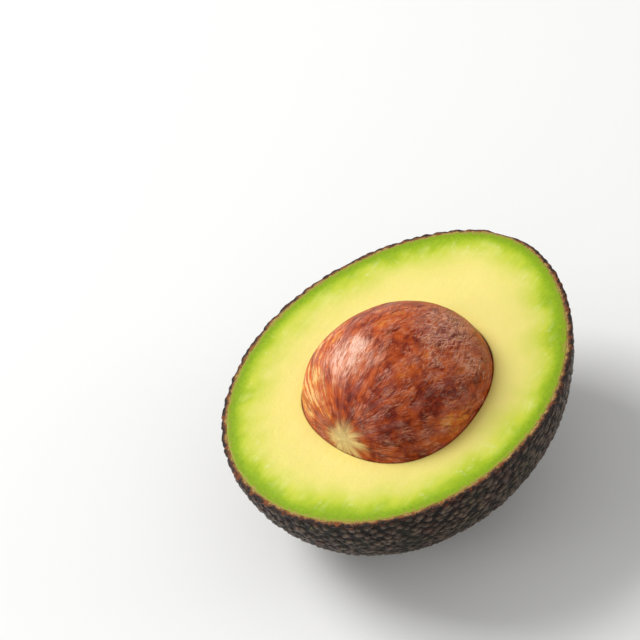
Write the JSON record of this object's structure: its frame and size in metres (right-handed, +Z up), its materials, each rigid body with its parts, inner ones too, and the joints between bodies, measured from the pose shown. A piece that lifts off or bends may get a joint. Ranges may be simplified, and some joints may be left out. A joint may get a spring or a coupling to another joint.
{
  "type": "halved avocado with its seed",
  "caption": "Half of an avocado, cut lengthwise, lying on its pebbled round back with the cut face up and the seed still sitting in its hollow.",
  "frame": {"origin": "under the middle of the half, in the plane of the small flat spot that it rests on", "axes": "+Z up, out of the cut face; +X along the fruit's long axis, from the blossom end to the stem end; +Y across the fruit"},
  "size_m": [0.0948, 0.078, 0.0528],
  "materials": {
    "skin": "satin",
    "flesh": "satin",
    "seed": "satin"
  },
  "bodies": {
    "root": {"skin": "skin", "flesh": "flesh", "seed": "seed"}
  },
  "joints": []
}
